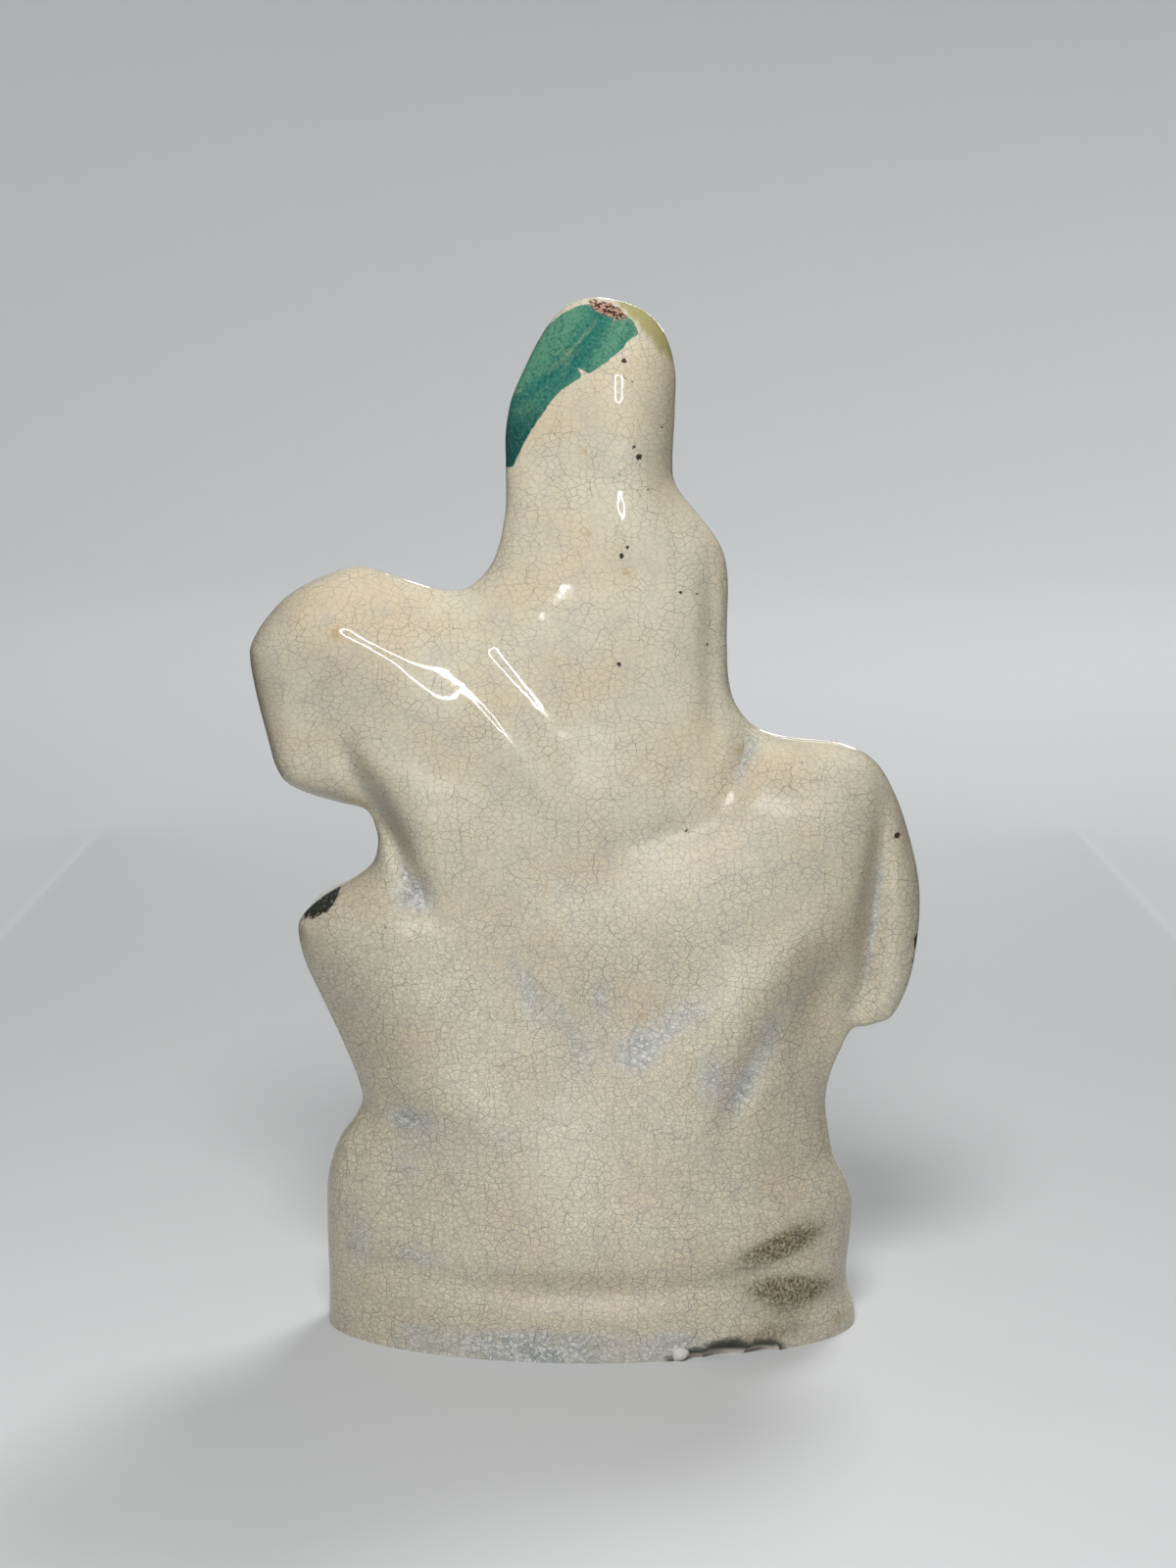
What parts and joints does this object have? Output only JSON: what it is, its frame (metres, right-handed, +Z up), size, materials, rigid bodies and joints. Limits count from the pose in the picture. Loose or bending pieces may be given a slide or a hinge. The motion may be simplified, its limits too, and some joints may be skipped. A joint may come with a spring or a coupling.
{
  "type": "staffordshire flatback figure",
  "caption": "Flat-backed earthenware mantel figure of a rider on a prancing pony, moulded in one piece with its mound and oval base.",
  "frame": {"origin": "on the surface the figure stands on, at the middle of its bounding box seen from above", "axes": "+Z up, -Y out of the moulded and painted front, +Y out of the plain back, +X towards the pony's head"},
  "size_m": [0.1096, 0.0433, 0.17],
  "materials": {
    "glazed_earthenware": "crazed cream lead glaze on press-moulded earthenware, with green, ochre, black and brown enamels"
  },
  "bodies": {
    "root": {"figure": "glazed_earthenware"}
  },
  "joints": []
}
